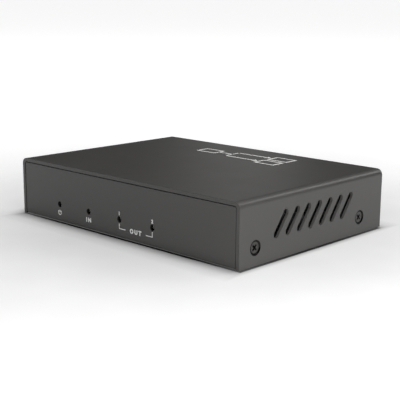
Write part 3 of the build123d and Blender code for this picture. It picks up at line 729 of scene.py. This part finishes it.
def floor_material():
    """Pale matt floor that keeps the shadow, reads as white further out and has a painted shadow under the
    part and a painted contact shadow beside it.
    """
    material, tree, shader = shader_tree("floor")
    tree.nodes.remove(shader)
    place = place_texture(tree)
    cloud = noise(tree, place, floor_cloud, detail=2)
    pale = mottle(tree, cloud, grey(1.0), floor_tones)
    # Painted shadow: dark under the footprint and a painted contact shadow that fades with distance from it
    footprint = (side_squeeze * (half_size.x + side_line), half_size.y + film_margin, MM)
    gap = outside(tree, place_texture(tree, (side_squeeze, 1, 1)), (0, 0, 0), footprint)
    near = ramp(tree, arithmetic(tree, "DIVIDE", gap, contact_reach), [
        (share, grey(level)) for share, level in contact_shadow_fade])
    under = arithmetic(tree, "LESS_THAN", gap)
    paint = node(tree, "ShaderNodeBsdfDiffuse")
    tree.links.new(mix(tree, under, mix(tree, near, grey(0.0), pale), under_shadow_tone), paint.inputs["Color"])
    reach = node(tree, "ShaderNodeVectorMath", operation="LENGTH")
    tree.links.new(place, reach.inputs[0])
    far = ramp(tree, reach.outputs["Value"], [(distance, grey(level)) for distance, level in floor_glow])
    glow = node(tree, "ShaderNodeEmission", color=(1, 1, 1, 1))
    tree.links.new(arithmetic(tree, "MULTIPLY", far, seen(tree)), glow.inputs["Strength"])
    both = tree.nodes.new("ShaderNodeAddShader")
    tree.links.new(paint.outputs[0], both.inputs[0])
    tree.links.new(glow.outputs[0], both.inputs[1])
    facing = tree.nodes.new("ShaderNodeNewGeometry")
    lit_through = arithmetic(tree, "MULTIPLY", under, unseen(tree))
    clear = arithmetic(tree, "MAXIMUM", lit_through, facing.outputs["Backfacing"])
    sided = tree.nodes.new("ShaderNodeMixShader")
    for target, source in zip(sided.inputs, (
            clear, both.outputs[0], tree.nodes.new("ShaderNodeBsdfTransparent").outputs[0])):
        tree.links.new(source, target)
    tree.links.new(sided.outputs[0], tree.nodes["Material Output"].inputs["Surface"])
    return material


def studio_lamps():
    """Soft boxes round the part, each turned towards it."""
    for name, (azimuth, elevation, distance), size, power, glossy in STUDIO:
        light = bpy.data.lights.new(name, "AREA")
        light.size, light.energy = size, power
        lamp = bpy.data.objects.new(name, light)
        bpy.context.scene.collection.objects.link(lamp)
        towards = sky_direction(azimuth, elevation)
        lamp.location = towards * distance
        lamp.rotation_euler = (-towards).to_track_quat("-Z", "Y").to_euler()
        lamp.visible_camera = False
        lamp.visible_glossy = glossy


def sky_direction(azimuth, elevation):
    """A direction from its azimuth, in degrees from +X towards +Y, and its elevation."""
    azimuth, elevation = math.radians(azimuth), math.radians(elevation)
    level = math.cos(elevation)
    return Vector((math.cos(azimuth) * level, math.sin(azimuth) * level, math.sin(elevation)))


def fade(tree, value, start, end):
    """A smooth change from 0 at start to 1 at end."""
    made = node(tree, "ShaderNodeMapRange", interpolation_type="SMOOTHSTEP")
    made.inputs["From Min"].default_value = min(start, end)
    made.inputs["From Max"].default_value = max(start, end)
    made.inputs["To Min"].default_value = float(start > end)
    made.inputs["To Max"].default_value = float(start < end)
    tree.links.new(value, made.inputs["Value"])
    return made.outputs["Result"]


def sector(tree, azimuth, edges, share):
    """A share, kept between two soft edges in azimuth that are given in degrees from outside to inside."""
    across = [fade(tree, azimuth, *map(math.radians, edge)) for edge in edges]
    return arithmetic(tree, "MULTIPLY", arithmetic(tree, "MULTIPLY", *across), share)


def low_sky(tree, height, edge):
    """1 below a soft edge in elevation, given in degrees from low to high, and 0 above it."""
    low, high = [math.sin(math.radians(angle)) for angle in edge]
    return fade(tree, height, high, low)


def studio_world():
    """A pale horizon with two dark flags, a soft box and a narrow card behind the part."""
    world = bpy.data.worlds.new("studio")
    bpy.context.scene.world = world
    world.use_nodes = True
    tree = world.node_tree
    coordinates = tree.nodes.new("ShaderNodeTexCoord")
    facing = node(tree, "ShaderNodeVectorMath", operation="NORMALIZE")
    tree.links.new(coordinates.outputs["Generated"], facing.inputs[0])
    x, y, height = axes(tree, facing.outputs["Vector"])
    azimuth = arithmetic(tree, "ARCTAN2", y, x)
    hidden = unseen(tree)
    flag = sector(tree, azimuth, flag_edges, low_sky(tree, height, flag_top_edge))
    side_flag = sector(tree, azimuth, side_flag_edges, hidden)
    open_sky = arithmetic(tree, "SUBTRACT", 1.0, arithmetic(tree, "MAXIMUM", flag, side_flag))
    sky = spread(tree, low_sky(tree, height, horizon_edge), sky_high, sky_low)
    total = arithmetic(tree, "MULTIPLY", arithmetic(tree, "MULTIPLY", sky, seen(tree)), open_sky)
    below = fade(tree, height, *below_edge)
    card = sector(tree, azimuth, card_edges, low_sky(tree, height, card_top_edge))
    aligned = node(tree, "ShaderNodeVectorMath", operation="DOT_PRODUCT")
    tree.links.new(facing.outputs["Vector"], aligned.inputs[0])
    aligned.inputs[1].default_value = sky_direction(*box_direction)
    disc = fade(tree, aligned.outputs["Value"], math.cos(math.radians(box_radius)), 1.0)
    box = arithmetic(tree, "MULTIPLY", disc, hidden)
    for share, strength in ((below, below_strength), (card, card_strength), (box, box_strength)):
        total = arithmetic(tree, "ADD", arithmetic(tree, "MULTIPLY", share, strength), total)
    background = tree.nodes["Background"]
    tree.links.new(total, background.inputs["Strength"])
    background.inputs["Color"].default_value = (1, 1, 1, 1)


def photo_camera():
    """The camera at the photograph's place and angle."""
    forward = Vector((
        -math.sin(camera_yaw) * math.cos(camera_pitch),
        math.cos(camera_yaw) * math.cos(camera_pitch),
        -math.sin(camera_pitch),
    ))
    level = Vector((math.cos(camera_yaw), math.sin(camera_yaw), 0))
    upward = level.cross(forward)
    right = math.cos(camera_roll) * level + math.sin(camera_roll) * upward
    up = math.cos(camera_roll) * upward - math.sin(camera_roll) * level
    data = bpy.data.cameras.new("camera")
    data.sensor_width = sensor_width
    data.lens = focal_pixels / frame_pixels * sensor_width
    data.clip_start = camera_clip
    camera = bpy.data.objects.new("camera", data)
    bpy.context.scene.collection.objects.link(camera)
    turn = Matrix((right, up, -forward)).transposed().to_4x4()
    camera.matrix_world = Matrix.Translation(camera_place) @ turn
    bpy.context.scene.camera = camera


dress_frame()
front_marks()
cover_diagram()
stage_floor()
studio_lamps()
studio_world()
photo_camera()
bpy.context.scene.view_settings.view_transform = "Standard"
